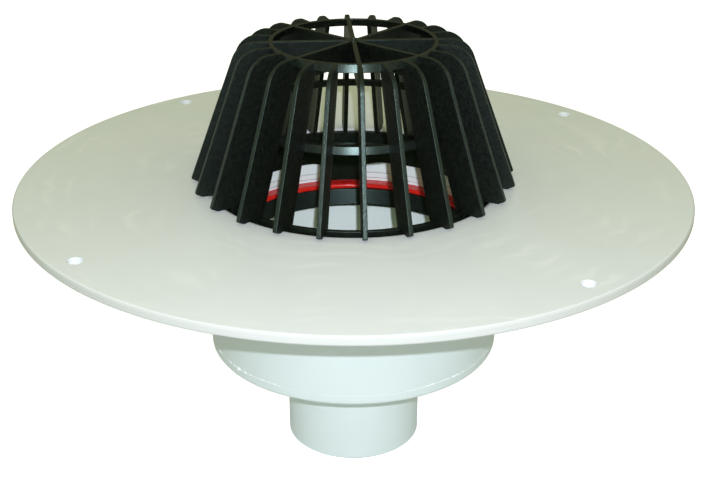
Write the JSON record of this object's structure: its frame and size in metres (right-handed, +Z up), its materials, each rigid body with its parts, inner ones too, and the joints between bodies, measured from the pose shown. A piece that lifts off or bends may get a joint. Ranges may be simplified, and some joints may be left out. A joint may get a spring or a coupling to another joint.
{
  "type": "flat roof drain",
  "caption": "Flat roof drain: a round flange plate with a sump body, sealing ring and downward outlet pipe, and a finned leaf strainer standing in the mouth.",
  "frame": {"origin": "centre of the drain's axis at the lower end of the outlet pipe, on the surface that the drain stands on", "axes": "+Z up along the drain's axis, from the outlet to the strainer; +X and +Y lie in the flange plate's plane"},
  "size_m": [0.36, 0.36, 0.2325],
  "materials": {
    "white_sheet": "satin, pressed sheet",
    "white_pipe": "smooth, extruded",
    "white_disc": "smooth, turned",
    "outlet_white": "smooth, extruded",
    "red_ring": "smooth, moulded",
    "seal_rubber": "matt, moulded",
    "black_moulding": "satin, fine grain"
  },
  "bodies": {
    "root": {"flange_plate": "white_sheet", "body_tube": "white_pipe", "base_disc": "white_disc", "outlet_pipe": "outlet_white", "support_ring": "red_ring", "lip_seal": "seal_rubber", "strainer": "black_moulding"}
  },
  "joints": []
}
